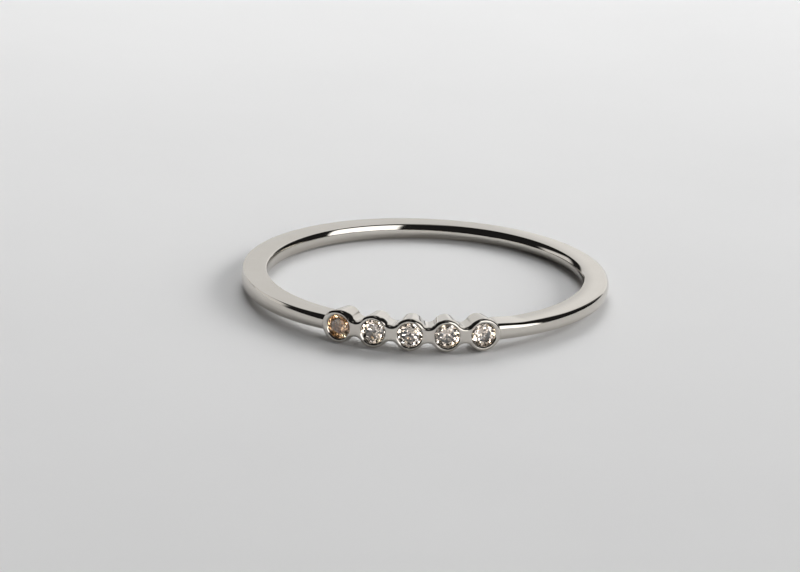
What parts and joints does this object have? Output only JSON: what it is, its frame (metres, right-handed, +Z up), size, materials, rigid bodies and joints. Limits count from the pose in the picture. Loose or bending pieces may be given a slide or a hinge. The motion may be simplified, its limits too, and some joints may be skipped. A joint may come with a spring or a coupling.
{
  "type": "half eternity ring",
  "caption": "Slim polished finger ring whose front is a scalloped bar of round bezels, each holding a small round brilliant stone.",
  "frame": {"origin": "centre of the ring's footprint on the surface that it lies on", "axes": "+Z up out of the surface, within about 1.6 degrees of the finger axis; the bezel bar faces -Y; +X to the right seen from the front"},
  "size_m": [0.0194, 0.0194, 0.0018],
  "materials": {
    "polished_white_gold": "mirror polished, warm white",
    "clear_stone": "clear faceted brilliant"
  },
  "bodies": {
    "root": {"band_and_bezel_bar": "polished_white_gold", "stone_1": "clear_stone", "stone_2": "clear_stone", "stone_3": "clear_stone", "stone_4": "clear_stone", "stone_5": "clear_stone"}
  },
  "joints": []
}
